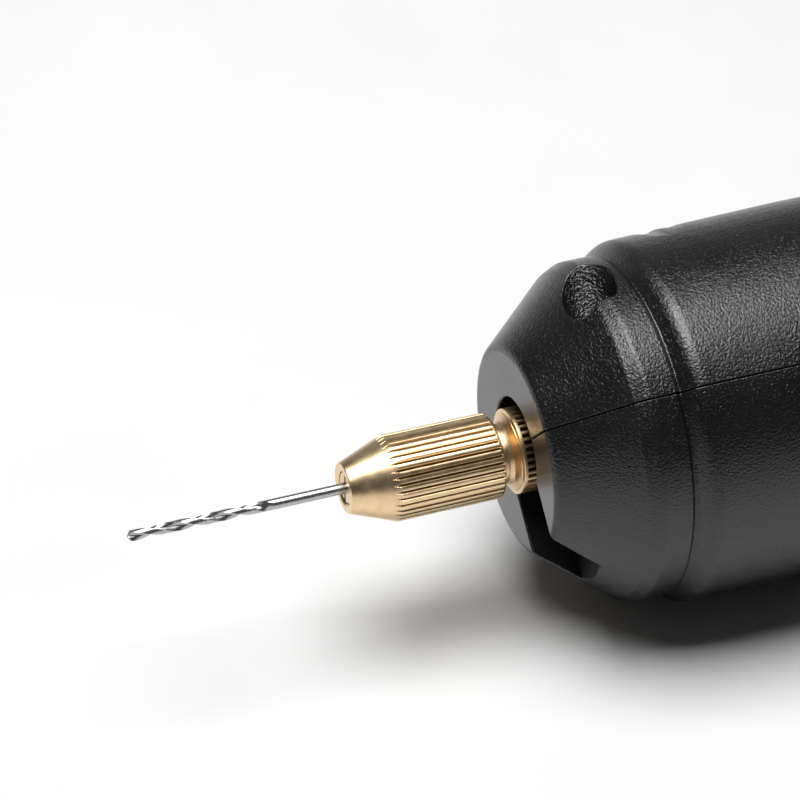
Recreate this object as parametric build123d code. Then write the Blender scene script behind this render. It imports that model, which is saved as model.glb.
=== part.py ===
"""A small corded hand drill with a brass collet chuck of the pin-vise kind.

Everything is drawn lying along X, with the drill bit towards -X. Stations along the spindle are measured
back from the flat nose face, so the chuck in front of it has negative stations. The two housing shells
meet on the plane Z = 0. write_node() turns the finished pieces 45 degrees about the spindle, which is how
the tool lies, and moves the origin to the middle of the grip's plain barrel.
"""
from build123d import *
import math
import os

# ---- how the tool lies ----
LAY_ANGLE = 45.0          # the shells' parting plane, turned about the spindle
ORIGIN_X = 45.0           # the station of the written pieces' origin, half way along the barrel

# ---- housing, outside ----
FACE_EDGE_R = 9.75        # where the flat nose face and the cone would meet
SHOULDER_X, SHOULDER_R = 6.85, 15.42
COLLAR_R = 16.0
COLLAR_START = 8.1
COLLAR_END = 10.7
GROOVE_X, GROOVE_R = 11.1, 15.72
RING_X, RING_R = 12.55, 17.05
GRIP_START, GRIP_R = 30.0, 17.4
BARREL_END = 60.0         # behind this the grip tapers very slightly
GRIP_END, GRIP_END_R = 88.0, 17.25
TAIL_COLLAR_R = 16.6
ANTI_ROLL = (89.6, 98.0)  # the eight-sided ring that stops the tool rolling
HOUSING_LENGTH = 104.0

# ---- housing, inside ----
WALL = 2.1
NOSE_WALL = 5.6           # thickness of the front wall
BAY_START = 15.0          # the motor's front face
BAY_R = GRIP_R - WALL
TAIL_WALL = 3.5
TONGUE = 0.8              # height and thickness of the lap at the parting line
LAP_GAP = 0.05
SEAM_HALF, SEAM_DEPTH = 0.07, 0.6  # the fine open line left between the shells
SEAM_EDGE_R = 0.08

# ---- nose opening ----
NOSE_HOLE_R = 4.85
NOSE_HOLE_Y, NOSE_HOLE_Z = -0.5, 0.05  # a little off the spindle, over the keyway
KEYWAY_DEPTH = 4.0        # behind the nose face
KEYWAY_Y = (-3.6, 2.5)
OPENING_EDGE_R = 0.22

# ---- housing screws ----
SCREW_SIDE = 9.34         # sideways from the spindle
FRONT_SCREW_X, REAR_SCREW_X = 7.55, 84.0
SINK_R = 2.52
SINK_FLOOR = 4.5          # above the parting plane
LOBE_X, LOBE_SIDE, LOBE_R = 8.4, 10.75, 1.35
RIM_R = 0.15              # rounding of the sinks' edges
RIM_MIDDLE, RIM_REACH = (7.64, 9.64), 3.9  # all of a front sink's rim is this near to its middle
RIM_LEAST_R = 12.0        # and this far from the spindle
SCREW_R, SCREW_HEAD_R, SCREW_HEAD_H = 1.1, 2.3, 1.6
SCREW_DEPTH = 7.5         # below the parting plane
BOSS_R = 4.1

# ---- thumb notch ----
NOTCH_DROP = 2.9          # it is turned about an axis this far below the spindle
NOTCH_START, NOTCH_END = 14.9, 20.5
NOTCH_START_R, NOTCH_END_R = 20.04, 20.13  # radii about the dropped axis
NOTCH_FLOOR = ((15.9, 19.8), (17.4, 19.77))
NOTCH_LIP = ((17.9, 20.04), (18.15, 20.04))
NOTCH_TAIL = (18.9, 19.9)

# ---- motor ----
MOTOR_R = 13.85
CAN_END, MOTOR_END = 50.5, 52.7
CAN_WALL = 1.0
SHAFT_R = 1.15
SHAFT_START, SHAFT_END = 0.9, 54.4
BUSH_R = 2.5
MAGNET_R = (9.6, 12.8)
CORE_START, CORE_END, CORE_R = 22.0, 42.0, 9.1
POLES = 5
COMMUTATOR = (44.6, 49.2, 3.0)
BRUSH_START, BRUSH_END = 45.6, 48.4
TAG_SIDE, TAG_THICKNESS, MOTOR_TAG_END = 7.0, 0.5, 58.0
FIT = 0.02                # radial clearance of a close fit
RUN = 0.05                # radial clearance of a running fit

# ---- chuck ----
NUT_FRONT, NUT_SHOULDER, NUT_REAR = -16.66, -12.27, -2.28
NUT_R, NUT_TIP_R = 4.0, 2.35
FLUTES, FLUTE_R = 36, 0.2
THREAD_START, THREAD_R = -9.0, 2.75
FLANGE_START, FLANGE_END, FLANGE_R = -0.5, 1.15, 4.0
FLANGE_TEETH, TOOTH_SIDE, TEETH_START = 38, 0.46, -0.25
CHUCK_R, CHUCK_END = 3.6, 10.5
GRUB_X, GRUB_R = 2.45, 1.25
COLLET_BORE_END = -2.8
COLLET_R, COLLET_TAIL_R = 2.2, 1.9
COLLET_FRONT, COLLET_SHOULDER, COLLET_STEP, COLLET_END = -16.5, -13.6, -9.3, -3.6

# ---- drill bit ----
BIT_R, BIT_TIP, BIT_LENGTH = 0.5, -37.1, 34.0
POINT_ANGLE = 118.0

# ---- slide switch ----
SWITCH_X, SWITCH_LENGTH, SWITCH_WIDTH = 70.5, 15.0, 6.0
SWITCH_Z = (8.0, 14.3)
POCKET_FLOOR, POCKET_LENGTH, POCKET_WIDTH = 16.4, 17.0, 8.4
KNOB_LENGTH, KNOB_WIDTH, KNOB_TOP = 8.0, 6.4, 18.7
STEM_LENGTH, STEM_WIDTH = 4.0, 3.0
SWITCH_TRAVEL = 4.0
SWITCH_TAG_PITCH, SWITCH_TAG_LOW = 4.0, 4.6

# ---- power inlet ----
JACK_R, JACK_BORE_R, JACK_FRONT = 5.0, 2.9, 92.0
JACK_COLLAR_R = 6.2
JACK_PIN_R = 1.0
JACK_TAG_SIDE, JACK_TAG_START = 3.0, 88.0

# ---- wires ----
WIRE_R = 0.7
WIRE_BEND = 2.2
CAPACITOR_X = 61.4


# ---- shapes that repeat ----
def section(corners):
    """A face in the XZ plane from (x, r, rounding) corners; a rounding of 0 leaves the corner sharp."""
    face = Face(Wire.make_polygon([Vector(x, 0, r) for x, r, _ in corners], close=True))
    for x, r, rounding in corners:
        if rounding:
            corner = face.vertices().sort_by_distance((x, 0, r))[0]
            face = face.fillet_2d(rounding, [corner])
    return face


def turned(*corners):
    """A solid turned about the spindle."""
    return revolve(section(corners), Axis.X)


def rod(x0, x1, r, y=0.0, z=0.0):
    """A round bar along X."""
    return Pos((x0 + x1) / 2, y, z) * Rot(0, 90, 0) * Cylinder(r, x1 - x0)


def tube(x0, x1, inner, outer):
    """A round tube along X."""
    return rod(x0, x1, outer) - rod(x0, x1, inner)


def post(x, y, z0, z1, r):
    """A round bar along Z."""
    return Pos(x, y, (z0 + z1) / 2) * Cylinder(r, z1 - z0)


def block(x, y, z):
    """A box from three (low, high) pairs."""
    centre = [(low + high) / 2 for low, high in (x, y, z)]
    return Pos(*centre) * Box(*[high - low for low, high in (x, y, z)])


def around(count, start=0.0):
    """Turns about the spindle, evenly spaced."""
    return [Rot(start + 360.0 * i / count, 0, 0) for i in range(count)]


# ---- housing ----
def outside():
    """The housing's outer form, before its openings are cut."""
    tail = HOUSING_LENGTH
    form = turned(
        (0, 0, 0), (0, FACE_EDGE_R, 1.0), (SHOULDER_X, SHOULDER_R, 1.2), (COLLAR_START, COLLAR_R, 1.0),
        (COLLAR_END, COLLAR_R, 0.15), (GROOVE_X, GROOVE_R, 0.2), (RING_X, RING_R, 2.0),
        (GRIP_START, GRIP_R, 0), (BARREL_END, GRIP_R, 0), (GRIP_END, GRIP_END_R, 0.5),
        (GRIP_END + 0.8, TAIL_COLLAR_R, 0.3),
        (tail - 4.0, TAIL_COLLAR_R, 2.5), (tail, TAIL_COLLAR_R - 4.0, 1.5), (tail, 0, 0),
    )
    return form + anti_roll_ring()


def anti_roll_ring():
    """The ring before the tail, whose flats are level with the grip."""
    start, end = ANTI_ROLL
    outline = Plane.YZ * RegularPolygon(GRIP_R, 8, major_radius=False, rotation=22.5)
    ring = Pos(start, 0, 0) * extrude(outline, end - start)
    ring = fillet(ring.edges().filter_by(Axis.X), 3.0)
    return chamfer(ring.faces().filter_by(Axis.X).edges(), 0.7)


def seam_core():
    """What lies behind the open line between the shells."""
    inset = SEAM_DEPTH
    return turned(
        (inset, 0, 0), (inset, FACE_EDGE_R - inset / 2, 0), (COLLAR_START, SHOULDER_R - inset / 2, 0),
        (GROOVE_X, GROOVE_R - inset, 0), (RING_X + 1, RING_R - inset, 0), (GRIP_START, GRIP_R - inset, 0),
        (GRIP_END, GRIP_R - inset, 0), (GRIP_END, TAIL_COLLAR_R - inset, 0),
        (HOUSING_LENGTH - 4.0, TAIL_COLLAR_R - inset, 0), (HOUSING_LENGTH - inset, TAIL_COLLAR_R - 4.5, 0),
        (HOUSING_LENGTH - inset, 0, 0),
    )


def on_skin(point):
    """Whether a point lies on the housing's outside near the spindle's height, and not in the open line."""
    corners = (
        (-1, 0), (0, FACE_EDGE_R), (SHOULDER_X, SHOULDER_R), (COLLAR_START, COLLAR_R),
        (COLLAR_END, COLLAR_R), (GROOVE_X, GROOVE_R), (RING_X, RING_R), (GRIP_START, GRIP_R),
        (GRIP_END, GRIP_END_R),
    )
    for (x0, r0), (x1, r1) in zip(corners, corners[1:]):
        if x0 <= point.X <= x1:
            skin = r0 + (r1 - r0) * (point.X - x0) / (x1 - x0)
            return point.X < 0.01 or math.hypot(point.Y, point.Z) > skin - SEAM_DEPTH / 2
    return False


def on_seam(point):
    """Whether a point lies on an outside edge of the open line."""
    return abs(abs(point.Z) - SEAM_HALF) < 0.001 and on_skin(point)


def on_nose_opening(point):
    """Whether a point lies on the edge of the spindle opening or on one of the keyway's long edges."""
    radius = math.hypot(point.Y - NOSE_HOLE_Y, point.Z - NOSE_HOLE_Z)
    on_circle = abs(radius - NOSE_HOLE_R) < 0.01 and point.X < 0.01
    beside_key = any(abs(point.Y - y) < 0.01 for y in KEYWAY_Y)
    on_key = beside_key and point.X < KEYWAY_DEPTH + 0.01 and on_skin(point)
    return on_circle or on_key


def rounded(shape, radius, chosen):
    """Round the edges whose start, middle and end are all chosen."""
    edges = [edge for edge in shape.edges() if all(chosen(edge @ t) for t in (0.0, 0.5, 1.0))]
    return shape.fillet(radius, edges)


def hollow():
    """The space inside the housing."""
    end = HOUSING_LENGTH - TAIL_WALL
    return turned(
        (NOSE_WALL, 0, 0), (NOSE_WALL, 11.9, 1.0), (COLLAR_START + 0.6, COLLAR_R - WALL, 1.0),
        (RING_X, COLLAR_R - WALL, 0), (BAY_START, BAY_R - 0.6, 0), (GRIP_START, BAY_R, 0),
        (GRIP_END - 2, BAY_R, 0), (GRIP_END - 1, TAIL_COLLAR_R - WALL, 0),
        (end - 1.5, TAIL_COLLAR_R - WALL, 0), (end, TAIL_COLLAR_R - WALL - 2.5, 0), (end, 0, 0),
    )


def ribs():
    """The rings inside the housing that hold the motor and the inlet."""
    rings = tube(BAY_START - 1.8, BAY_START - 0.02, 3.3, BAY_R)
    for x in (20.0, 34.0, 47.5):
        rings += tube(x, x + 1.6, MOTOR_R + RUN, BAY_R + 0.2)
    rings += tube(MOTOR_END + 0.02, MOTOR_END + 1.6, 11.2, BAY_R + 0.2)
    rings += tube(JACK_FRONT + 3.0, JACK_FRONT + 4.6, JACK_R + FIT, TAIL_COLLAR_R - WALL + 0.2)
    return rings


def screw_places():
    """The x and y of the four housing screws."""
    return [(x, side * SCREW_SIDE) for x in (FRONT_SCREW_X, REAR_SCREW_X) for side in (-1, 1)]


def housing():
    """Both shells in one, with the nose opening and the keyway to the chuck's grub screws."""
    form = outside()
    shell = form - hollow() + (ribs() & form)
    for x, y in screw_places():
        shell += post(x, y, -COLLAR_R, COLLAR_R, BOSS_R) & form
    shell -= rod(-1, NOSE_WALL + 1, NOSE_HOLE_R, NOSE_HOLE_Y, NOSE_HOLE_Z)
    shell -= block((-1, KEYWAY_DEPTH), KEYWAY_Y, (-COLLAR_R, NOSE_HOLE_Z))
    shell -= rod(HOUSING_LENGTH - TAIL_WALL - 1, HOUSING_LENGTH + 1, JACK_R + FIT)
    shell = rounded(shell, OPENING_EDGE_R, on_nose_opening)
    return shell - (block((-1, HOUSING_LENGTH + 1), (-20, 20), (-SEAM_HALF, SEAM_HALF)) - seam_core())


def lap(gap):
    """The band where one shell's tongue sits in the other's rebate."""
    band = tube(17.0 - gap, 79.0 + gap, BAY_R - gap, BAY_R + TONGUE + gap)
    return band & block((0, HOUSING_LENGTH), (-20, 20), (-TONGUE - gap, 0))


def housing_upper(shell):
    """The shell with the screw sinks, the thumb notch and the switch window."""
    upper = shell & block((-1, HOUSING_LENGTH + 1), (-20, 20), (0, 20))
    upper += lap(0) & outside()
    for x, y in screw_places():
        upper -= post(x, y, SINK_FLOOR, 20, SINK_R) + post(x, y, -1, 20, SCREW_R + 0.2)
    for side in (-1, 1):
        upper -= post(LOBE_X, side * LOBE_SIDE, SINK_FLOOR, 20, LOBE_R)
    upper = rounded(upper, RIM_R, on_sink_rim)
    upper = rounded(upper, SEAM_EDGE_R, on_seam) - thumb_notch()
    half, wide = POCKET_LENGTH / 2, POCKET_WIDTH / 2
    upper -= block((SWITCH_X - half, SWITCH_X + half), (-wide, wide), (POCKET_FLOOR, 20))
    reach = STEM_LENGTH / 2 + 0.3
    window = (SWITCH_X - SWITCH_TRAVEL / 2 - reach, SWITCH_X + SWITCH_TRAVEL / 2 + reach)
    upper -= block(window, (-STEM_WIDTH / 2 - 0.2, STEM_WIDTH / 2 + 0.2), (10, 20))
    for end in (-1, 1):
        x = SWITCH_X + end * (SWITCH_LENGTH / 2 + 0.65)
        upper += block((x - 0.6, x + 0.6), (-4, 4), (SWITCH_Z[0] + 1, BAY_R))
    return upper


def on_sink_rim(point):
    """Whether a point lies where a front screw sink or its side lobe meets the outside."""
    near = math.hypot(point.X - RIM_MIDDLE[0], abs(point.Y) - RIM_MIDDLE[1]) < RIM_REACH
    return near and math.hypot(point.Y, point.Z) > RIM_LEAST_R


def thumb_notch():
    """A shallow cross notch behind the nose ring, with a small lip, which fades out down the sides."""
    (floor_start, floor_end), (lip_start, lip_end) = NOTCH_FLOOR, NOTCH_LIP
    ring = turned(
        (NOTCH_START - 0.5, NOTCH_START_R + 0.4, 0), (NOTCH_START, NOTCH_START_R, 0),
        (*floor_start, 0.8), (*floor_end, 0.4), (*lip_start, 0.15), (*lip_end, 0.15), (*NOTCH_TAIL, 0.6),
        (NOTCH_END, NOTCH_END_R, 0), (NOTCH_END + 0.4, NOTCH_END_R + 0.4, 0),
    )
    return Pos(0, 0, -NOTCH_DROP) * ring


def housing_lower(shell):
    """The shell that the screws bite into."""
    lower = shell & block((-1, HOUSING_LENGTH + 1), (-20, 20), (-20, 0))
    lower = rounded(lower, SEAM_EDGE_R, on_seam) - lap(LAP_GAP)
    for x, y in screw_places():
        lower -= post(x, y, -SCREW_DEPTH - 1, 1, SCREW_R + FIT)
    return lower


def housing_screws():
    """Four pan-head screws with a cross recess."""
    head_top = SINK_FLOOR + SCREW_HEAD_H
    screws = []
    for x, y in screw_places():
        screw = post(x, y, -SCREW_DEPTH, SINK_FLOOR, SCREW_R)
        screw += post(x, y, SINK_FLOOR, head_top, SCREW_HEAD_R)
        screw = fillet(screw.edges().group_by(Axis.Z)[-1], 0.5)
        for wide, deep in ((2.4, 0.5), (0.5, 2.4)):
            screw -= block((x - wide / 2, x + wide / 2), (y - deep / 2, y + deep / 2), (head_top - 1, 20))
        screws.append(screw)
    return screws


# ---- motor ----
def motor_can():
    """The pressed steel cup, with a raised boss for the front bush."""
    inner = MOTOR_R - CAN_WALL
    can = turned(
        (BAY_START, 0, 0), (BAY_START, MOTOR_R, 1.0), (CAN_END, MOTOR_R, 0), (CAN_END, inner, 0),
        (BAY_START + 1.2, inner, 0.6), (BAY_START + 1.2, 0, 0),
    )
    can += rod(BAY_START - 1.8, BAY_START + 0.5, 3.2)
    can -= rod(BAY_START - 3, BAY_START + 3, BUSH_R + FIT)
    for side in (-8.0, 8.0):
        can -= rod(BAY_START - 1, BAY_START + 2, 1.25, y=side)
    return can


def bush(x0, x1):
    """A sintered bearing bush."""
    return tube(x0, x1, SHAFT_R + FIT, BUSH_R)


def motor_end_cap():
    """The moulded rear cap, with slots for the brush terminals."""
    cap = rod(CAN_END, MOTOR_END, MOTOR_R) + rod(CAN_END - 1.2, CAN_END + 0.5, MOTOR_R - CAN_WALL - FIT)
    cap += rod(MOTOR_END - 0.5, MOTOR_END + 1.4, 3.4)
    cap -= rod(CAN_END - 3, MOTOR_END + 3, BUSH_R + FIT)
    for side in (-1, 1):
        y = side * TAG_SIDE
        cap -= block((CAN_END - 3, MOTOR_END + 1), (y - 0.4, y + 0.4), (-1.6, 1.6))
    return cap


def motor_magnets():
    """Two arc magnets against the can's wall."""
    ring = tube(19.0, 45.0, MAGNET_R[0], MAGNET_R[1])
    gap = block((18, 46), (-20, 20), (-4.0, 4.0))
    return list((ring - gap).solids())


def rotor_core():
    """The stack of laminations: a hub, an arm for each pole and its curved shoe."""
    core = rod(CORE_START, CORE_END, 3.4)
    rim = tube(CORE_START, CORE_END, CORE_R - 1.3, CORE_R)
    for turn in around(POLES, 36.0):
        rim -= turn * block((CORE_START - 1, CORE_END + 1), (-0.9, 0.9), (CORE_R - 3, CORE_R + 1))
    for turn in around(POLES):
        core += turn * block((CORE_START, CORE_END), (-1.1, 1.1), (3.0, CORE_R - 1.0))
    return core + rim - rod(CORE_START - 1, CORE_END + 1, SHAFT_R + FIT)


def rotor_windings():
    """One coil round each arm of the core."""
    coils = []
    for turn in around(POLES):
        coil = block((CORE_START - 1.8, CORE_END + 1.8), (-2.2, 2.2), (3.8, 7.2))
        coil = fillet(coil.edges().filter_by(Axis.Z), 1.2)
        coil -= block((CORE_START - 0.05, CORE_END + 0.05), (-1.15, 1.15), (3, 8))
        coils.append(turn * coil)
    return coils


def commutator():
    """The copper segments, parted by narrow slits."""
    x0, x1, r = COMMUTATOR
    drum = tube(x0, x1, SHAFT_R + FIT, r)
    for turn in around(POLES):
        drum -= turn * block((x0 - 1, x1 + 1), (-0.2, 0.2), (r - 0.7, r + 1))
    return drum


def motor_brushes():
    """Two carbon blocks that run on the commutator."""
    inner, outer = COMMUTATOR[2] + RUN, TAG_SIDE - TAG_THICKNESS / 2
    sides = ((inner, outer), (-outer, -inner))
    return [block((BRUSH_START, BRUSH_END), side, (-1.1, 1.1)) for side in sides]


def motor_terminals():
    """The brush arms, which come out of the end cap as solder tags."""
    half = TAG_THICKNESS / 2
    tags = []
    for y in (-TAG_SIDE, TAG_SIDE):
        tag = block((BRUSH_START, MOTOR_TAG_END), (y - half, y + half), (-1.4, 1.4))
        tags.append(tag - Pos(MOTOR_TAG_END - 1.4, y, 0) * Rot(90, 0, 0) * Cylinder(0.6, 3))
    return tags


def shaft_washers():
    """The thrust washers at the ends of the rotor."""
    return [tube(x, x + 0.5, SHAFT_R + FIT, 2.4) for x in (CORE_START - 5.0, COMMUTATOR[1] + 0.1)]


# ---- chuck ----
def chuck_body():
    """The brass body: thread for the nut, collar with a toothed rim, and a long sleeve on the shaft."""
    body = turned(
        (THREAD_START, 0, 0), (THREAD_START, THREAD_R - 0.25, 0), (THREAD_START + 0.25, THREAD_R, 0),
        (NUT_REAR - 0.6, THREAD_R, 0), (NUT_REAR - 0.3, 2.35, 0), (-1.95, 2.35, 0), (-1.95, 2.85, 0.08),
        (-1.5, 2.85, 0), (-1.1, 3.15, 0.3), (FLANGE_START, FLANGE_R, 0.1), (FLANGE_END, FLANGE_R, 0.15),
        (FLANGE_END + 0.3, CHUCK_R, 0), (CHUCK_END, CHUCK_R, 0.4), (CHUCK_END, 0, 0),
    )
    reach = FLANGE_END - TEETH_START + 1
    tooth_gap = Rot(45, 0, 0) * Box(reach, TOOTH_SIDE, TOOTH_SIDE)
    groove = Pos(TEETH_START + reach / 2, 0, FLANGE_R) * tooth_gap
    for turn in around(FLANGE_TEETH):
        body -= turn * groove
    body -= rod(SHAFT_START - 0.4, CHUCK_END + 1, SHAFT_R + FIT)
    body -= turned((THREAD_START - 1, 0, 0), (THREAD_START - 1, COLLET_TAIL_R + RUN, 0),
                   (COLLET_BORE_END, COLLET_TAIL_R + RUN, 0), (COLLET_BORE_END + 0.8, 0, 0))
    return body - post(GRUB_X, 0, -CHUCK_R - 1, CHUCK_R + 1, GRUB_R + FIT)


def chuck_grub_screws():
    """Two socket grub screws that clamp the motor shaft."""
    screws = []
    for side in (-1, 1):
        low, high = sorted((side * (SHAFT_R + 0.02), side * (CHUCK_R - 0.15)))
        screw = post(GRUB_X, 0, low, high, GRUB_R)
        socket = extrude(Pos(GRUB_X, 0, side * (CHUCK_R - 1.3)) * RegularPolygon(0.75, 6), side * 2.0)
        screws.append(screw - socket)
    return screws


def collet():
    """The slit collet that grips the bit: a nose cone, a barrel and a tail in the chuck body."""
    form = turned(
        (COLLET_FRONT, 0, 0), (COLLET_FRONT, 1.45, 0.1), (COLLET_SHOULDER, COLLET_R, 0.2),
        (COLLET_STEP, COLLET_R, 0), (COLLET_STEP, COLLET_TAIL_R, 0), (COLLET_END, COLLET_TAIL_R, 0.2),
        (COLLET_END, 0, 0),
    )
    form -= rod(COLLET_FRONT - 1, COLLET_END + 1, BIT_R + FIT)
    for turn in around(2, 45.0):
        form -= turn * block((COLLET_FRONT - 1, -6.5), (-0.17, 0.17), (-3, 3))
    return form - rod(-7.1, -6.5, 0.6)


def chuck_nut():
    """The fluted brass nut with its cone and the tapered seat that closes the collet."""
    nut = turned(
        (NUT_FRONT, 0, 0), (NUT_FRONT, NUT_TIP_R, 0.15), (NUT_SHOULDER, NUT_R, 0),
        (NUT_REAR, NUT_R, 0.25), (NUT_REAR, 0, 0),
    )
    for turn in around(FLUTES):
        nut -= turn * rod(NUT_SHOULDER - 0.15, NUT_REAR + 1, FLUTE_R, z=NUT_R + 0.02)
    seat = RUN + 0.03
    nut -= turned(
        (NUT_FRONT - 1, 0, 0), (NUT_FRONT - 1, 1.45 + seat, 0), (COLLET_FRONT, 1.45 + seat, 0),
        (COLLET_SHOULDER, COLLET_R + seat, 0), (THREAD_START - 1.9, COLLET_R + seat, 0),
        (THREAD_START - 1.9, THREAD_R + RUN, 0), (NUT_REAR + 1, THREAD_R + RUN, 0), (NUT_REAR + 1, 0, 0),
    )
    return nut


def drill_bit():
    """A straight-shank bit with its point ground to 118 degrees."""
    point = BIT_R / math.tan(math.radians(POINT_ANGLE / 2))
    return turned((BIT_TIP, 0, 0), (BIT_TIP + point, BIT_R, 0), (BIT_TIP + BIT_LENGTH, BIT_R, 0.1),
                  (BIT_TIP + BIT_LENGTH, 0, 0))


# ---- slide switch ----
def switch_body():
    """The switch under the upper shell, with a trough that its slider runs in."""
    half, wide = SWITCH_LENGTH / 2, SWITCH_WIDTH / 2
    body = block((SWITCH_X - half, SWITCH_X + half), (-wide, wide), SWITCH_Z)
    trough = STEM_LENGTH / 2 + SWITCH_TRAVEL / 2 + 0.3
    return body - block((SWITCH_X - trough, SWITCH_X + trough), (-1.7, 1.7), (SWITCH_Z[1] - 3.5, 20))


def switch_tags():
    """Three solder tags under the switch."""
    places = [SWITCH_X + step * SWITCH_TAG_PITCH for step in (-1, 0, 1)]
    return [block((x - 0.9, x + 0.9), (-0.25, 0.25), (SWITCH_TAG_LOW, SWITCH_Z[0])) for x in places]


def switch_slider():
    """The thumb slider: a ribbed cap in the pocket and a stem down into the switch, at its rear stop."""
    x = SWITCH_X + SWITCH_TRAVEL / 2
    cap = block((x - KNOB_LENGTH / 2, x + KNOB_LENGTH / 2), (-KNOB_WIDTH / 2, KNOB_WIDTH / 2),
                (POCKET_FLOOR + 0.1, KNOB_TOP))
    cap = fillet(cap.edges().filter_by(Axis.Z), 1.2)
    cap = fillet(cap.edges().group_by(Axis.Z)[-1], 0.4)
    for i in range(5):
        groove_x = x + (i - 2) * 1.2
        cap -= block((groove_x - 0.3, groove_x + 0.3), (-4, 4), (KNOB_TOP - 0.45, 20))
    stem_x = (x - STEM_LENGTH / 2, x + STEM_LENGTH / 2)
    return cap + block(stem_x, (-STEM_WIDTH / 2, STEM_WIDTH / 2), (SWITCH_Z[1] - 3.3, POCKET_FLOOR + 0.5))


# ---- power inlet ----
def jack_body():
    """The round inlet socket, held between the shells by its collar."""
    end = HOUSING_LENGTH
    body = rod(JACK_FRONT, end, JACK_R) + rod(end - TAIL_WALL - 2.3, end - TAIL_WALL - FIT, JACK_COLLAR_R)
    body -= rod(JACK_FRONT + 2.5, end + 1, JACK_BORE_R)
    return chamfer(body.edges().filter_by(GeomType.CIRCLE).sort_by(Axis.X)[-1], 0.4)


def jack_pin():
    """The centre contact, with its rounded end inside the socket."""
    return turned((JACK_FRONT + 2.5, 0, 0), (JACK_FRONT + 2.5, JACK_PIN_R, 0),
                  (HOUSING_LENGTH - 1.2, JACK_PIN_R, 0.7), (HOUSING_LENGTH - 1.2, 0, 0))


def jack_tags():
    """The inlet's two solder tags."""
    sides = (-JACK_TAG_SIDE, JACK_TAG_SIDE)
    return [block((JACK_TAG_START, JACK_FRONT), (y - 0.9, y + 0.9), (-0.25, 0.25)) for y in sides]


# ---- wiring ----
def wire(*points):
    """A round insulated wire through the given points, with rounded bends."""
    path = FilletPolyline(*points, radius=WIRE_BEND)
    start = Plane(path @ 0, z_dir=path % 0)
    return sweep(start * Circle(WIRE_R), path)


def switch_wire():
    """From the switch's front tag down and forward to one motor tag."""
    x = SWITCH_X - SWITCH_TAG_PITCH
    return wire((x, 0, SWITCH_TAG_LOW), (x, 0, 0), (x - 4, TAG_SIDE, 0), (MOTOR_TAG_END, TAG_SIDE, 0))


def return_wire():
    """From one inlet tag forward, past the rear screw boss, to the other motor tag."""
    x, y = JACK_TAG_START, -JACK_TAG_SIDE
    return wire((x, y, 0), (x - 6, y, 0), (x - 12, -TAG_SIDE, 0), (MOTOR_TAG_END, -TAG_SIDE, 0))


def inlet_wire():
    """From the other inlet tag forward and up to the switch's rear tag."""
    x, y = JACK_TAG_START, JACK_TAG_SIDE
    end = SWITCH_X + SWITCH_TAG_PITCH
    return wire((x, y, 0), (x - 8, y, 0), (end, 0, 0), (end, 0, SWITCH_TAG_LOW))


def capacitor():
    """The ceramic disc that quiets the brushes, with its two legs on the motor tags."""
    disc = Pos(CAPACITOR_X, 0, 0) * Cylinder(3.2, 2.2)
    disc = fillet(disc.edges(), 0.8)
    for side in (-1, 1):
        start = Vector(CAPACITOR_X - 2.0, side * 1.8, 0)
        end = Vector(MOTOR_TAG_END - 0.6, side * (TAG_SIDE - TAG_THICKNESS / 2 - 0.2), 0)
        run = end - start
        disc += Plane(origin=start, z_dir=run) * Pos(0, 0, run.length / 2) * Cylinder(0.3, run.length)
    return disc


# ---- writing ----
def write_node(name, pieces):
    """Turn the pieces to the way the tool lies, put the origin on the barrel and write one STEP file."""
    lay = Pos(-ORIGIN_X, 0, 0) * Rot(-LAY_ANGLE, 0, 0)
    solids = [solid for piece in pieces for solid in (lay * piece).solids()]
    shape = solids[0] if len(solids) == 1 else Compound(children=solids)
    export_step(shape, f"parts/{name}.step")


def main():
    os.makedirs("parts", exist_ok=True)
    shell = housing()
    nodes = {
        "housing_upper": [housing_upper(shell)],
        "housing_lower": [housing_lower(shell)],
        "housing_screws": housing_screws(),
        "motor_can": [motor_can()],
        "motor_end_cap": [motor_end_cap()],
        "motor_front_bush": [bush(BAY_START - 1.7, BAY_START + 1.4)],
        "motor_rear_bush": [bush(CAN_END - 0.4, MOTOR_END + 1.2)],
        "motor_magnets": motor_magnets(),
        "motor_brushes": motor_brushes(),
        "motor_terminals": motor_terminals(),
        "motor_shaft": [rod(SHAFT_START, SHAFT_END, SHAFT_R)],
        "shaft_washers": shaft_washers(),
        "rotor_core": [rotor_core()],
        "rotor_windings": rotor_windings(),
        "commutator": [commutator()],
        "chuck_body": [chuck_body()],
        "chuck_grub_screws": chuck_grub_screws(),
        "collet": [collet()],
        "chuck_nut": [chuck_nut()],
        "drill_bit": [drill_bit()],
        "switch_body": [switch_body()],
        "switch_tags": switch_tags(),
        "switch_slider": [switch_slider()],
        "jack_body": [jack_body()],
        "jack_pin": [jack_pin()],
        "jack_tags": jack_tags(),
        "capacitor": [capacitor()],
        "switch_wire": [switch_wire()],
        "return_wire": [return_wire()],
        "inlet_wire": [inlet_wire()],
    }
    for name, pieces in nodes.items():
        write_node(name, pieces)


if __name__ == "__main__":
    main()
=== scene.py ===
"""Looks for the small electric hand drill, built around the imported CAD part."""

import math

import bmesh
import bpy
from mathutils import Matrix, Vector


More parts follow.
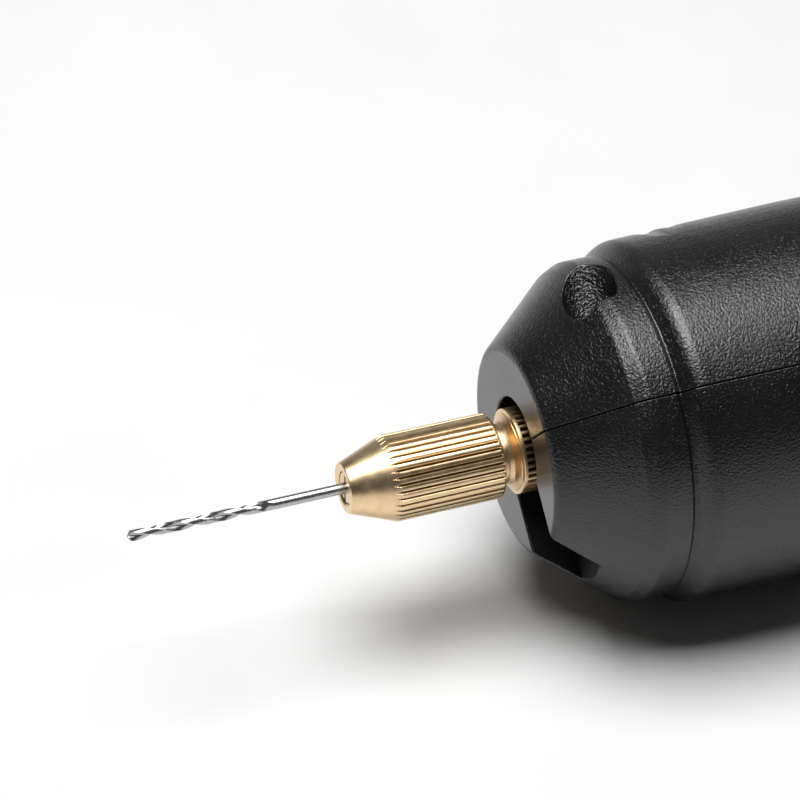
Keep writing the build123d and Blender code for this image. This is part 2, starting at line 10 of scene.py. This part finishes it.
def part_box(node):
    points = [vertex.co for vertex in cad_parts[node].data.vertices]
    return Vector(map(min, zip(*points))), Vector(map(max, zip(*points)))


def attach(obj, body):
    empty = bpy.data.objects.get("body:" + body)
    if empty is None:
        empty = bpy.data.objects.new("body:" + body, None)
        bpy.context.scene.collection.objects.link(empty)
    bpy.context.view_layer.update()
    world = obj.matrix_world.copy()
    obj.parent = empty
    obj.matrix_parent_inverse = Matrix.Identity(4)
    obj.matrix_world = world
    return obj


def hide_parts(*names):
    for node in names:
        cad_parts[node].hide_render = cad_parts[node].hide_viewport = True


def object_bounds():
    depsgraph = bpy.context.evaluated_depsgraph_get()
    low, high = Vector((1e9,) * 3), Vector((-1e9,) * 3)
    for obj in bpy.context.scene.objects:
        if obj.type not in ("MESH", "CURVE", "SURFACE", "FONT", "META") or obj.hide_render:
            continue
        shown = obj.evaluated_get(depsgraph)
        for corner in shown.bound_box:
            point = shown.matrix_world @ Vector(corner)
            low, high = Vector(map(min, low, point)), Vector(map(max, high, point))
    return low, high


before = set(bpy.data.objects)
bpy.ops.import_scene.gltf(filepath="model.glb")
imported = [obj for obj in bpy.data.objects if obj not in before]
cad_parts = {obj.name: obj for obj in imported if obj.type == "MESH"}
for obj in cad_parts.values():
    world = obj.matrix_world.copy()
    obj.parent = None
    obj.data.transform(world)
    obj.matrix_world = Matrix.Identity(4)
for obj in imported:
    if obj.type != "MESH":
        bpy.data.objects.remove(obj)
cad_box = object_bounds()

# Pieces are drawn in the tool's own millimetres: x behind the nose face, y and z across, with the parting
# plane level at z = 0. LAY then puts them down where the CAD lies, rolled an eighth of a turn.
MM = 0.001
ROLL = math.radians(-45)
NOSE_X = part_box("housing_upper")[0].x
LAY = Matrix.Translation((NOSE_X, 0, 0)) @ Matrix.Rotation(ROLL, 4, "X") @ Matrix.Scale(MM, 4)
SHARP_ANGLE = 35.0


def own(point):
    """A row-frame point in the tool's own millimetres."""
    return LAY.inverted() @ point


# ---- materials ----


class Look:
    """A Principled material and short ways to drive it from noise in object space."""

    def __init__(self, name, metallic=0.0, ior=1.5):
        self.material = bpy.data.materials.new(name)
        self.material.use_nodes = True
        self.tree = self.material.node_tree
        self.shader = self.tree.nodes["Principled BSDF"]
        self.shader.inputs["Metallic"].default_value = metallic
        self.shader.inputs["IOR"].default_value = ior
        self.place = self.tree.nodes.new("ShaderNodeTexCoord").outputs["Object"]
        self.height = None

    def node(self, kind, **settings):
        """A new node of this kind with its settings given."""
        made = self.tree.nodes.new(kind)
        for key, value in settings.items():
            setattr(made, key, value)
        return made

    def link(self, out, socket):
        """Join an output to an input."""
        self.tree.links.new(out, socket)

    def stretched(self, x=1.0, y=1.0, z=1.0):
        """Object space, scaled along each axis."""
        node = self.node("ShaderNodeMapping")
        node.inputs["Scale"].default_value = (x, y, z)
        self.link(self.place, node.inputs["Vector"])
        return node.outputs["Vector"]

    def noise(self, size_mm, detail=2.0, rough=0.5, distort=0.0, where=None):
        """Noise with features of about size_mm, around 0.5."""
        node = self.node("ShaderNodeTexNoise")
        node.inputs["Scale"].default_value = 1.0 / (size_mm * MM)
        node.inputs["Detail"].default_value = detail
        node.inputs["Roughness"].default_value = rough
        node.inputs["Distortion"].default_value = distort
        self.link(where or self.place, node.inputs["Vector"])
        return node.outputs["Fac"]

    def spread(self, out, low, high, start=0.3, end=0.7):
        """A noise value, spread from low to high."""
        node = self.node("ShaderNodeMapRange")
        for name, value in (("From Min", start), ("From Max", end), ("To Min", low), ("To Max", high)):
            node.inputs[name].default_value = value
        self.link(out, node.inputs["Value"])
        return node.outputs["Result"]

    def sum(self, a, b, weight=1.0):
        """a plus b times its weight."""
        node = self.node("ShaderNodeMath", operation="MULTIPLY_ADD")
        self.link(b, node.inputs[0])
        node.inputs[1].default_value = weight
        self.link(a, node.inputs[2])
        return node.outputs[0]

    def colour(self, out, dark, light, start=0.3, end=0.7):
        """Base colour from dark to light, as the output runs from start to end."""
        ramp = self.node("ShaderNodeValToRGB")
        ramp.color_ramp.elements[0].position, ramp.color_ramp.elements[1].position = start, end
        ramp.color_ramp.elements[0].color = (*dark, 1)
        ramp.color_ramp.elements[1].color = (*light, 1)
        self.link(out, ramp.inputs["Fac"])
        self.link(ramp.outputs["Color"], self.shader.inputs["Base Color"])
        return self

    def rough(self, out, low, high, start=0.3, end=0.7):
        """Roughness from low to high, as the output runs from start to end."""
        self.link(self.spread(out, low, high, start, end), self.shader.inputs["Roughness"])
        return self

    def bump(self, out, depth_mm):
        """Relief of depth_mm, added to any that the look already has."""
        node = self.node("ShaderNodeBump")
        node.inputs["Strength"].default_value = 1.0
        node.inputs["Distance"].default_value = depth_mm * MM
        self.link(out, node.inputs["Height"])
        if self.height is not None:
            self.link(self.height, node.inputs["Normal"])
        self.height = node.outputs["Normal"]
        self.link(self.height, self.shader.inputs["Normal"])
        return self


def plain(name, dark, light, rough=(0.3, 0.5), metallic=0.0, size=1.0, bump=0.0, grain=0.1):
    """A material with cloudy colour and roughness at one scale and a fine surface grain."""
    look = Look(name, metallic)
    cloud = look.noise(size, 4)
    look.colour(cloud, dark, light).rough(cloud, *rough)
    if bump:
        look.bump(look.noise(grain, 3), bump)
    return look.material


SHELL_DARK, SHELL_LIGHT = (0.0045, 0.0045, 0.0047), (0.0075, 0.0075, 0.0077)


def shell_look(name, worm_mm, depth_mm, rough, ior):
    """Satin black moulding with a worm-like spark-eroded grain."""
    look = Look(name, ior=ior)
    worm = look.noise(worm_mm, 1.0, 0.4, 0.6)
    fine = look.noise(worm_mm * 0.4, 2.0)
    cloud = look.noise(6.0, 3)
    look.colour(cloud, SHELL_DARK, SHELL_LIGHT)
    look.rough(look.sum(cloud, fine, 0.3), *rough, 0.35, 0.95)
    look.bump(look.sum(worm, fine, 0.25), depth_mm)
    return look.material


def brass_look(name, dark, light, rough):
    """Pale machined brass with fine turning lines round the spindle."""
    look = Look(name, metallic=1.0)
    lines = look.noise(0.045, 2.0, 0.6, 0.0, look.stretched(1.0, 0.02, 0.02))
    cloud = look.noise(0.9, 4)
    look.colour(look.sum(cloud, lines, 0.25), dark, light, 0.4, 0.85)
    look.rough(look.sum(cloud, lines, 0.5), *rough, 0.4, 1.0)
    look.bump(lines, 0.004)
    return look.material


def steel_look(name, dark, light, rough):
    """Bright steel, ground round the spindle."""
    look = Look(name, metallic=1.0)
    lines = look.noise(0.05, 2.0, 0.6, 0.0, look.stretched(1.0, 0.05, 0.05))
    look.colour(lines, dark, light).rough(lines, *rough).bump(lines, 0.002)
    return look.material


LOOKS = {
    "shell": shell_look("shell_grained", 0.21, 0.062, (0.20, 0.27), 1.58),
    "brass": brass_look("brass_turned", (0.76, 0.56, 0.32), (0.88, 0.67, 0.42), (0.26, 0.38)),
    "bit_steel": steel_look("steel_bit", (0.40, 0.39, 0.40), (0.56, 0.55, 0.56), (0.24, 0.38)),
    "steel": steel_look("steel_ground", (0.45, 0.45, 0.46), (0.6, 0.6, 0.61), (0.2, 0.35)),
    "collet": brass_look("brass_collet", (0.72, 0.56, 0.36), (0.84, 0.68, 0.46), (0.3, 0.42)),
    "screw": plain(
        "screw_zinc", (0.30, 0.30, 0.32), (0.42, 0.42, 0.43), (0.25, 0.45), metallic=1.0, size=0.8, bump=0.004),
    "can": plain(
        "can_nickel", (0.48, 0.49, 0.50), (0.60, 0.61, 0.62), (0.22, 0.36), metallic=1.0, size=5.0, bump=0.003),
    "motor_plastic": plain(
        "motor_white", (0.62, 0.61, 0.57), (0.70, 0.69, 0.65), (0.4, 0.5), size=2.0, bump=0.006),
    "bush": plain(
        "bush_bronze", (0.42, 0.28, 0.14), (0.55, 0.38, 0.20), (0.45, 0.6),
        metallic=1.0, size=0.4, bump=0.01, grain=0.08),
    "magnet": plain(
        "magnet_ferrite", (0.035, 0.034, 0.034), (0.055, 0.053, 0.052), (0.6, 0.8), size=0.6, bump=0.02),
    "carbon": plain(
        "brush_carbon", (0.02, 0.019, 0.019), (0.05, 0.046, 0.044), (0.45, 0.65),
        metallic=0.2, size=0.3, bump=0.01),
    "tag": plain(
        "tag_tinned", (0.62, 0.60, 0.56), (0.74, 0.72, 0.68), (0.2, 0.35), metallic=1.0, size=0.7, bump=0.004),
    "lamination": plain(
        "core_steel", (0.22, 0.22, 0.23), (0.36, 0.36, 0.37), (0.35, 0.5), metallic=1.0, size=0.5, bump=0.01),
    "copper": plain(
        "copper_enamelled", (0.50, 0.19, 0.08), (0.66, 0.27, 0.12), (0.2, 0.34),
        metallic=0.9, size=0.35, bump=0.02, grain=0.2),
    "switch_plastic": plain(
        "switch_black", (0.016, 0.016, 0.017), (0.024, 0.024, 0.025), (0.3, 0.42), size=1.5, bump=0.004),
    "slider": plain(
        "slider_black", (0.013, 0.013, 0.0135), (0.02, 0.02, 0.0205), (0.34, 0.44),
        size=1.5, bump=0.01, grain=0.14),
    "inlet_plastic": plain(
        "inlet_black", (0.012, 0.012, 0.013), (0.02, 0.02, 0.021), (0.26, 0.38), size=1.2, bump=0.003),
    "ceramic": plain(
        "capacitor_ochre", (0.50, 0.24, 0.05), (0.60, 0.31, 0.08), (0.25, 0.4), size=0.8, bump=0.01, grain=0.3),
    "wire_red": plain(
        "wire_red", (0.42, 0.02, 0.015), (0.52, 0.03, 0.02), (0.35, 0.45), size=0.8, bump=0.003),
    "wire_black": plain(
        "wire_black", (0.012, 0.012, 0.012), (0.022, 0.022, 0.022), (0.35, 0.45), size=0.8, bump=0.003),
}
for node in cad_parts.values():
    given = LOOKS[node.data.materials[0].name]
    node.data.materials.clear()
    node.data.materials.append(given)


# Painted shade: a darker brass for the bottoms of the nut's flutes, standing in for the shade that falls in
# them.
GROOVE_SHADE_LOOK = brass_look("brass_groove_painted_shade", (0.22, 0.14, 0.07), (0.36, 0.245, 0.13), (0.4, 0.55))
# Painted shade: a near-black brass for the gaps between the flange's teeth, standing in for the shadow inside
# them.
TOOTH_GAP_SHADE_LOOK = brass_look("brass_tooth_gap_painted_shade", (0.05, 0.032, 0.018), (0.10, 0.066, 0.035), (0.5, 0.65))


# The nose, in the tool's own millimetres. The front cone's radius grows with x from FACE_R at the nose face.
FACE_R, CONE_SLOPE = 9.72, 0.828
KEYWAY_END, KEYWAY_LEFT, KEYWAY_RIGHT, KEYWAY_TOP = 4.05, -3.8, 2.7, -3
SINK_X, SINK_Y, SINK_R = 7.55, 9.34, 2.55
LOBE_X, LOBE_Y, LOBE_R = 8.4, 10.75, 1.38
SINK_LEAST_Z = 4.4
SQUARE_ON = 0.99


def in_keyway(p):
    """Whether p lies inside the keyway, below the cone's surface."""
    depth = FACE_R + CONE_SLOPE * p.x - math.hypot(p.y, p.z)
    return 0.02 < p.x < KEYWAY_END and KEYWAY_LEFT < p.y < KEYWAY_RIGHT and p.z < KEYWAY_TOP and depth > 0.2


def in_sink(p):
    """Whether p lies in a front screw sink or its side lobe."""
    side = abs(p.y)
    in_bore = math.hypot(p.x - SINK_X, side - SINK_Y) < SINK_R
    in_lobe = math.hypot(p.x - LOBE_X, side - LOBE_Y) < LOBE_R
    return p.z > SINK_LEAST_Z and (in_bore or in_lobe)


def finish_shell(node):
    """The flat nose face is smooth, the sinks' walls have a coarser grain, and the keyway is matt."""
    node.data.materials.append(FACE_LOOK)
    node.data.materials.append(COARSE_LOOK)
    node.data.materials.append(KEYWAY_LOOK)
    for face in node.data.polygons:
        p = own(face.center)
        n = LAY.to_3x3().inverted() @ face.normal
        n.normalize()
        if p.x < 0.05 and n.x < -SQUARE_ON:
            face.material_index = 1
        elif in_sink(p) and abs(n.z) < 0.1:
            face.material_index = 2
        elif in_keyway(p) and (n.x < -SQUARE_ON or abs(n.y) > SQUARE_ON):
            face.material_index = 3


FACE_LOOK = shell_look("shell_face", 0.12, 0.006, (0.30, 0.36), 2.1)
COARSE_LOOK = shell_look("shell_coarse", 0.26, 0.2, (0.12, 0.2), 1.7)
KEYWAY_LOOK = shell_look("shell_keyway", 0.2, 0.05, (0.5, 0.6), 1.25)
finish_shell(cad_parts["housing_upper"])
finish_shell(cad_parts["housing_lower"])

# ---- turned pieces ----


def fillet(corners, arc=6):
    """The points of an (x, r, rounding) outline with its corners rounded."""
    points = []
    for i, (x, r, rounding) in enumerate(corners):
        here = Vector((x, r))
        if not rounding or i in (0, len(corners) - 1):
            points.append((x, r))
            continue
        to_last = (Vector(corners[i - 1][:2]) - here).normalized()
        to_next = (Vector(corners[i + 1][:2]) - here).normalized()
        half = to_last.angle(to_next) / 2
        middle = here + (to_last + to_next).normalized() * rounding / math.sin(half)
        start = here + to_last * rounding / math.tan(half) - middle
        end = here + to_next * rounding / math.tan(half) - middle
        for k in range(arc + 1):
            turn = start.lerp(end, k / arc).normalized() * rounding
            points.append(tuple(middle + turn))
    return points


def divided(points, x0, x1, step):
    """The outline with its stretch between x0 and x1 cut into short steps."""
    out = [points[0]]
    for (xa, ra), (xb, rb) in zip(points, points[1:]):
        if min(xa, xb) >= x0 - 1e-6 and max(xa, xb) <= x1 + 1e-6:
            count = max(1, round(abs(xb - xa) / step))
            out += [(xa + (xb - xa) * k / count, ra + (rb - ra) * k / count) for k in range(1, count)]
        out.append((xb, rb))
    return out


def turned(name, points, angles, shape=None, closed=False):
    """A piece turned about the spindle. shape(x, r, angle) may change each radius; r of 0 is on the spindle."""
    count, across = len(points), len(angles)
    verts = []
    for x, r in points:
        for angle in angles:
            radius = shape(x, r, angle) if shape and r > 0 else r
            verts.append((x, radius * math.cos(angle), radius * math.sin(angle)))
    faces = []
    for i in range(count if closed else count - 1):
        j = (i + 1) % count
        if points[i][1] == 0 and points[j][1] == 0:
            continue
        for k in range(across):
            m = (k + 1) % across
            faces.append((i * across + k, j * across + k, j * across + m, i * across + m))
    return piece(name, verts, faces)


def piece(name, verts, faces, sharp=SHARP_ANGLE):
    """A mesh drawn in millimetres, laid down as the tool lies, with crisp edges above the sharp angle."""
    mesh = bpy.data.meshes.new(name)
    mesh.from_pydata(verts, [], faces)
    work = bmesh.new()
    work.from_mesh(mesh)
    bmesh.ops.remove_doubles(work, verts=work.verts, dist=1e-5)
    bmesh.ops.recalc_face_normals(work, faces=work.faces)
    work.transform(LAY)
    work.to_mesh(mesh)
    work.free()
    mesh.shade_smooth()
    mesh.set_sharp_from_angle(angle=math.radians(sharp))
    obj = bpy.data.objects.new(name, mesh)
    bpy.context.scene.collection.objects.link(obj)
    return obj


def placed(obj, body, slot, look, *nodes):
    """Give a piece its material and its body, and hide the CAD nodes that it stands for. The slot is not used.
    """
    obj.data.materials.clear()
    obj.data.materials.append(look)
    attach(obj, body)
    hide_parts(*nodes)
    return obj


def repeated(count, parts):
    """Angles for count equal teeth, each sampled at the given parts of its pitch."""
    return [2 * math.pi * (i + part) / count for i in range(count) for part in parts]


def tooth_part(angle, count):
    """How far an angle is from the middle of its groove, as a part of the pitch from 0 to 0.5."""
    turn = angle * count / (2 * math.pi)
    return abs(turn - round(turn))


# Where the painted groove shade starts: faces further out than this radius and at least this deep below the
# outline.
GROOVE_LEAST_R, GROOVE_LEAST_DEPTH = 3.2, 0.07


def paint_groove_shade(obj, look, count, part, outline):
    """Paint shade into the bottoms of the grooves, below the outline's radius at each x: they get the given
    darker material in place of the shade that falls in them.
    """
    obj.data.materials.append(look)
    for face in obj.data.polygons:
        p = own(face.center)
        r = math.hypot(p.y, p.z)
        deep = r > GROOVE_LEAST_R and outline(p.x) - r > GROOVE_LEAST_DEPTH
        if deep and tooth_part(math.atan2(p.z, p.y), count) < part:
            face.material_index = 1


FLUTES, FLUTE_HALF, FLUTE_DEPTH, CROWN = 36, 0.21, 0.25, 0.03
NUT_R = 4.0
NUT_TIP, NUT_TIP_R, NUT_SHOULDER, NUT_END = -16.66, 2.35, -12.27, -2.28
NUT_CONE_SLOPE = 0.376


def flute_radius(angle):
    """The nut's radius round its knurl: V-shaped flutes between slightly crowned lands."""
    part = tooth_part(angle, FLUTES)
    if part < FLUTE_HALF:
        return NUT_R - CROWN - FLUTE_DEPTH * (1 - part / FLUTE_HALF)
    return NUT_R - CROWN * ((0.5 - part) / (0.5 - FLUTE_HALF)) ** 2


def make_nut():
    """The knurled chuck nut, whose fluting runs out in points on the cone."""
    outer = fillet([
        (NUT_TIP + 0.16, 1.53, 0), (NUT_TIP, 1.72, 0.06), (NUT_TIP, NUT_TIP_R, 0.14), (NUT_SHOULDER, NUT_R, 0),
        (NUT_END, NUT_R, 0.3), (NUT_END, 3.0, 0.08), (-2.4, 2.8, 0),
    ])
    outer = divided(outer, NUT_TIP + 0.06, NUT_SHOULDER, 0.06)
    outer = divided(outer, NUT_SHOULDER, -2.2, 1.1)
    inner = [(-10.9, 2.8), (-10.9, 2.28), (-13.6, 2.28)]

    def shape(x, r, angle):
        return min(r, flute_radius(angle)) if r > 3.1 else r

    def uncut(x):
        return min(NUT_R, NUT_TIP_R + NUT_CONE_SLOPE * (x - NUT_TIP)) if x < -2.5 else 0

    angles = repeated(FLUTES, (-0.5, -0.4, -0.3, -0.21, -0.14, -0.07, 0, 0.07, 0.14, 0.21, 0.3, 0.4))
    nut = turned("chuck_nut_fluted", outer + inner, angles, shape, closed=True)
    placed(nut, "nut", "brass", LOOKS["brass"], "chuck_nut")
    # Painted shade: the bottoms of the flutes get the darker brass.
    paint_groove_shade(nut, GROOVE_SHADE_LOOK, FLUTES, 0.12, uncut)


FLANGE_R = 4.0
TEETH, TEETH_START, TOOTH_DEPTH, TOOTH_HALF, TOOTH_WALL = 38, -0.25, 0.42, 0.34, 0.12
THREAD_R, THREAD_START, THREAD_END, THREAD_PITCH, THREAD_DEPTH = 2.75, -8.75, -2.88, 0.5, 0.14
SLEEVE_R, SLEEVE_END, SHAFT_R = 3.6, 10.5, 1.17
GRUB_SCREW_X, GRUB_SCREW_R = 2.45, 1.27


def make_chuck_body():
    """The chuck body: thread, neck, stepped collar with a toothed rim, and the sleeve on the shaft."""
    outline = fillet([
        (-2.0, 0, 0), (-2.8, 1.95, 0), (-9.0, 1.95, 0), (-9.0, 2.5, 0),
        (THREAD_START, THREAD_R, 0), (THREAD_END, THREAD_R, 0), (-2.58, 2.35, 0), (-1.95, 2.35, 0.1),
        (-1.95, 2.85, 0.08), (-1.55, 2.85, 0.06), (-1.5, 2.75, 0.04), (-1.1, 3.0, 0.3), (-0.72, 3.66, 0.04),
        (-0.66, 3.66, 0.03), (-0.54, FLANGE_R, 0.08), (TEETH_START, FLANGE_R, 0),
        (TEETH_START + 0.02, FLANGE_R, 0), (1.15, FLANGE_R, 0.12), (1.45, SLEEVE_R, 0),
        (SLEEVE_END, SLEEVE_R, 0.35), (SLEEVE_END, SHAFT_R, 0), (0.5, SHAFT_R, 0), (0.5, 0, 0),
    ])
    outline = divided(outline, THREAD_START, THREAD_END, THREAD_PITCH / 8)
    outline = divided(outline, TEETH_START + 0.02, 1.2, 0.2)

    def shape(x, r, angle):
        if r == THREAD_R and THREAD_START < x < THREAD_END:
            part = (x / THREAD_PITCH - angle / (2 * math.pi)) % 1
            return r - THREAD_DEPTH * abs(2 * part - 1)
        if r > 3.3 and TEETH_START < x - 0.01 and x < 1.46:
            part = tooth_part(angle, TEETH)
            return min(r, FLANGE_R - TOOTH_DEPTH * min(1.0, max(0.0, (TOOTH_HALF - part) / TOOTH_WALL)))
        return r

    angles = repeated(TEETH, (-0.5, -0.42, -0.34, -0.27, -0.2, -0.07, 0.07, 0.2, 0.27, 0.34, 0.42))
    body = turned("chuck_body_turned", outline, angles, shape)
    drill_cross_hole(body, GRUB_SCREW_X, GRUB_SCREW_R, 4.5)
    placed(body, "spindle", "brass", LOOKS["brass"], "chuck_body")
    # Painted shade: the gaps between the flange's teeth get the near-black brass.
    paint_groove_shade(body, TOOTH_GAP_SHADE_LOOK, TEETH, 0.3, lambda x: FLANGE_R if TEETH_START < x < 1.1 else 0)


HOLE_SIDES = 48


def drill_cross_hole(obj, x, r, reach):
    """Cut a round hole straight through, across the spindle, for the grub screws."""
    n = HOLE_SIDES
    ring = [2 * math.pi * k / n for k in range(n)]
    verts = [(x + r * math.cos(a), r * math.sin(a), z) for z in (-reach, reach) for a in ring]
    faces = [(k, (k + 1) % n, n + (k + 1) % n, n + k) for k in range(n)]
    faces += [tuple(reversed(range(n))), tuple(range(n, 2 * n))]
    cutter = piece("cutter", verts, faces)
    cut = obj.modifiers.new("hole", "BOOLEAN")
    cut.operation, cut.object, cut.solver = "DIFFERENCE", cutter, "EXACT"
    bpy.context.view_layer.update()
    result = bpy.data.meshes.new_from_object(obj.evaluated_get(bpy.context.evaluated_depsgraph_get()))
    obj.modifiers.clear()
    obj.data = result
    result.set_sharp_from_angle(angle=math.radians(SHARP_ANGLE))
    bpy.data.objects.remove(cutter)


# The bit's land and its margin are angles in radians round half a turn.
BIT_TIP, BIT_LENGTH, BIT_R, BIT_WEB, BIT_LEAD, BIT_FLUTED = -37.1, 34.0, 0.5, 0.1, 8.4, 12.5
LAND, MARGIN, RELIEF = 1.2, 0.25, 0.012
FLUTE_RUN_OUT = 2.4
POINT_HALF_ANGLE = math.radians(59)
BIT_PHASE = math.radians(60)
BACK_RIM_R = 0.42


def make_bit():
    """A two-flute twist drill: lands, helical flutes that run out into a plain shank, and a ground point."""
    part = [LAND * k / 5 for k in range(6)] + [LAND + (math.pi - LAND) * k / 18 for k in range(1, 18)]
    around = [base + u for base in (0, math.pi) for u in part]
    start = [0, 0.03, 0.08, 0.15, 0.22, 0.3]
    stations = start + [0.3 + 0.1 * k for k in range(1, 140)] + [18.0, 24.0, 30.0, 33.9]
    twist_end = BIT_FLUTED + FLUTE_RUN_OUT / 2
    verts = []
    for s in stations:
        depth = min(1.0, max(0.0, (twist_end - s) / FLUTE_RUN_OUT)) ** 0.8
        for angle in around:
            u = angle % math.pi
            r = BIT_R if u < MARGIN or depth < 1 else BIT_R - RELIEF
            if u > LAND:
                across_flute = math.sin(math.pi * (u - LAND) / (math.pi - LAND)) ** 0.75
                r = BIT_R - (BIT_R - BIT_WEB) * depth * across_flute
            r = min(r, s * math.tan(POINT_HALF_ANGLE) + 0.01)
            a = angle + BIT_PHASE + 2 * math.pi * min(s, twist_end) / BIT_LEAD
            verts.append((BIT_TIP + s, r * math.cos(a), r * math.sin(a)))
    across, last = len(around), len(stations) - 1
    faces = []
    for i in range(last):
        for k in range(across):
            m = (k + 1) % across
            faces.append((i * across + k, (i + 1) * across + k, (i + 1) * across + m, i * across + m))
    verts += [(BIT_TIP, 0, 0), (BIT_TIP + BIT_LENGTH, 0, 0)]
    rim = [(BIT_TIP + BIT_LENGTH, BACK_RIM_R * math.cos(a), BACK_RIM_R * math.sin(a)) for a in around]
    base = len(verts)
    verts += rim
    for k in range(across):
        m = (k + 1) % across
        faces.append((base - 2, k, m))
        faces.append((last * across + k, base + k, base + m, last * across + m))
        faces.append((base + k, base - 1, base + m))
    bit = piece("drill_bit_twist", verts, faces, 30.0)
    placed(bit, "bit", "bit_steel", LOOKS["bit_steel"], "drill_bit")


make_nut()
make_chuck_body()
make_bit()

# ---- camera, floor and light ----


def from_nose(x, y, z):
    """The row-frame point this many millimetres from the middle of the nose face, along the row's axes."""
    return Vector((NOSE_X, 0, 0)) + Vector((x, y, z)) * MM


AZIMUTH, ELEVATION = math.radians(-20.449), math.radians(35.618)
back = Vector((math.sin(AZIMUTH) * math.cos(ELEVATION), -math.cos(AZIMUTH) * math.cos(ELEVATION),
               math.sin(ELEVATION)))
camera = bpy.data.objects.new("camera", bpy.data.cameras.new("camera"))
camera.data.lens, camera.data.sensor_width = 180.0, 36.0
camera.data.clip_start, camera.data.clip_end = 0.01, 20.0
camera.location = from_nose(-112.83, -272.58, 216.87)
camera.rotation_mode = "QUATERNION"
camera.rotation_quaternion = (-back).to_track_quat("-Z", "Y")
bpy.context.scene.collection.objects.link(camera)
bpy.context.scene.camera = camera


def add_floor():
    """A wide matt sheet that the tool lies on."""
    grid = bmesh.new()
    bmesh.ops.create_grid(grid, x_segments=8, y_segments=8, size=4.0)
    mesh = bpy.data.meshes.new("floor")
    grid.to_mesh(mesh)
    grid.free()
    floor = bpy.data.objects.new("floor", mesh)
    floor.location.z = cad_box[0].z
    bpy.context.scene.collection.objects.link(floor)
    look = Look("floor_white")
    look.colour(look.noise(30.0, 3), (0.73, 0.73, 0.73), (0.75, 0.75, 0.75))
    look.rough(look.noise(8.0, 2), 0.55, 0.7)
    look.shader.inputs["Specular IOR Level"].default_value = 0.2
    mesh.materials.append(look.material)


def add_softbox(name, place, aim, width, height, radiance):
    """A rectangular area light at place, aimed at aim, both in millimetres from the nose face."""
    light = bpy.data.lights.new(name, "AREA")
    light.shape = "RECTANGLE"
    light.size, light.size_y = width * MM, height * MM
    light.energy = radiance * math.pi * light.size * light.size_y
    lamp = bpy.data.objects.new(name, light)
    lamp.location = from_nose(*place)
    lamp.rotation_mode = "QUATERNION"
    lamp.rotation_quaternion = (from_nose(*aim) - lamp.location).to_track_quat("-Z", "Y")
    bpy.context.scene.collection.objects.link(lamp)


def add_world(grey):
    """An even surround of one grey."""
    world = bpy.data.worlds.new("studio")
    world.use_nodes = True
    world.node_tree.nodes["Background"].inputs["Color"].default_value = (grey, grey, grey, 1)
    world.node_tree.nodes["Background"].inputs["Strength"].default_value = 1.0
    bpy.context.scene.world = world


add_floor()
add_softbox("softbox_top", place=(-40, 15, 620), aim=(20, 0, 0), width=440, height=470, radiance=9.4)
add_softbox("wall_behind", place=(60, 560, 140), aim=(0, 0, 10), width=900, height=260, radiance=0.22)
add_world(0.045)
bpy.context.scene.view_settings.view_transform = "Standard"
